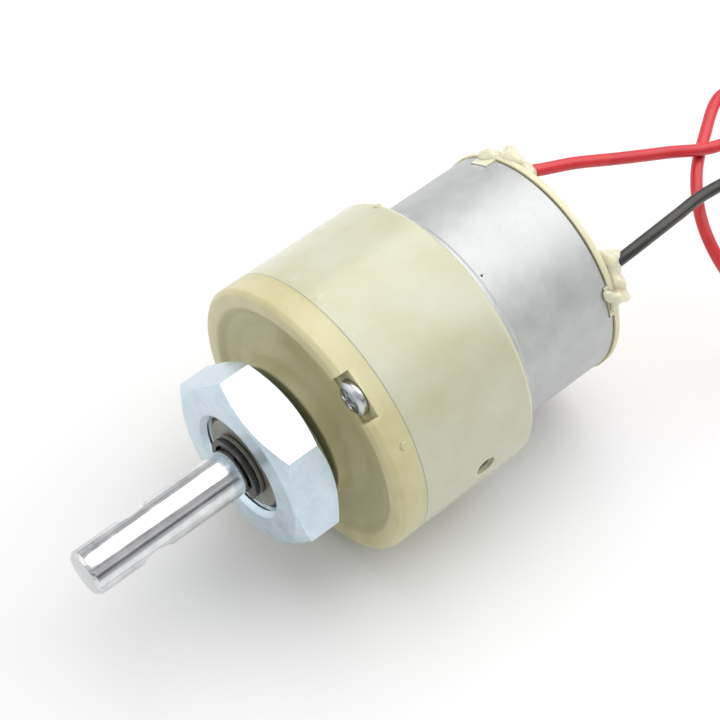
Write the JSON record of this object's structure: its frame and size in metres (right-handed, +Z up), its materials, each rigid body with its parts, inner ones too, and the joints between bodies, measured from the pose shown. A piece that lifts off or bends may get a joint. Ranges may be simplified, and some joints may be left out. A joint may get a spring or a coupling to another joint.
{
  "type": "geared electric motor",
  "caption": "Round DC gear motor with a central cross-drilled output shaft, threaded front bush with hexagon nut, and two loose leads at the rear.",
  "frame": {"origin": "centre of the output shaft's end face", "axes": "+Y from the shaft end towards the rear of the motor along the shaft, +Z up, +X to the right seen from the shaft end"},
  "size_m": [0.0438, 0.1067, 0.037],
  "materials": {
    "cover": "olive-cream moulded plastic",
    "ring": "pale translucent nylon",
    "cap": "cream moulded plastic",
    "zinc": "bright zinc plate",
    "steel": "polished steel",
    "dark_steel": "dark machined steel",
    "black_steel": "black spring steel",
    "can": "satin plated sheet steel",
    "brass": "plain brass",
    "bronze": "sintered bronze",
    "copper": "copper",
    "nylon": "white nylon",
    "ferrite": "ferrite",
    "carbon": "carbon",
    "fibre": "fibre board",
    "red": "red wire insulation",
    "black": "black wire insulation",
    "glue": "clear pale yellow hot-melt glue",
    "tin": "tinned strands"
  },
  "bodies": {
    "gearbox": {"front_cover": "cover", "ring_housing": "ring", "gear_plate": "can", "cover_screw_1": "steel", "cover_screw_2": "steel", "motor_screw_1": "steel", "motor_screw_2": "steel", "side_screw": "dark_steel", "output_bush": "dark_steel", "thrust_washer": "black_steel", "spindle_a": "steel", "spindle_b": "steel", "spindle_spacer_front": "nylon", "spindle_spacer_rear": "nylon", "motor_can": "can", "front_bearing": "bronze", "rear_bearing": "bronze", "magnet_1": "ferrite", "magnet_2": "ferrite", "magnet_spring": "steel", "end_cap": "cap", "terminal_1": "brass", "terminal_2": "brass", "brush_arm_1": "copper", "brush_arm_2": "copper", "brush_1": "carbon", "brush_2": "carbon", "red_wire": "red", "red_wire_core": "tin", "black_wire": "black", "black_wire_core": "tin", "glue_bead_1": "glue", "glue_bead_2": "glue"},
    "output": {"output_shaft": "steel", "output_gear": "steel", "snap_ring": "black_steel"},
    "third_gear": {"gear_3": "steel"},
    "second_gear": {"gear_2": "steel"},
    "first_gear": {"gear_1": "nylon"},
    "rotor": {"motor_shaft": "steel", "motor_pinion": "brass", "rotor_core": "can", "winding_1": "copper", "winding_2": "copper", "winding_3": "copper", "commutator_hub": "fibre", "commutator_segment_1": "copper", "commutator_segment_2": "copper", "commutator_segment_3": "copper", "rotor_washer": "fibre"},
    "nut": {"mounting_nut": "zinc"}
  },
  "joints": [
    {"name": "output_spin", "type": "hinge", "parent": "gearbox", "child": "output", "pos_m": [0, 0.04, 0], "axis": [0, 1, 0], "continuous": true},
    {"name": "third_gear_spin", "type": "hinge", "parent": "gearbox", "child": "third_gear", "pos_m": [-0.004, 0.04, 0.00693], "axis": [0, 1, 0], "continuous": true},
    {"name": "second_gear_spin", "type": "hinge", "parent": "gearbox", "child": "second_gear", "pos_m": [-0.008, 0.04, 0], "axis": [0, 1, 0], "continuous": true},
    {"name": "first_gear_spin", "type": "hinge", "parent": "gearbox", "child": "first_gear", "pos_m": [-0.004, 0.04, 0.00693], "axis": [0, 1, 0], "continuous": true},
    {"name": "rotor_spin", "type": "hinge", "parent": "gearbox", "child": "rotor", "pos_m": [0, 0.04, 0], "axis": [0, 1, 0], "continuous": true},
    {"name": "nut_spin", "type": "hinge", "parent": "gearbox", "child": "nut", "pos_m": [0, 0.04, 0], "axis": [0, 1, 0], "continuous": true}
  ],
  "couplings": [
    {"joint": "third_gear_spin", "follows": "output_spin", "ratio": -3},
    {"joint": "second_gear_spin", "follows": "output_spin", "ratio": 9},
    {"joint": "first_gear_spin", "follows": "output_spin", "ratio": -27},
    {"joint": "rotor_spin", "follows": "output_spin", "ratio": 81}
  ]
}
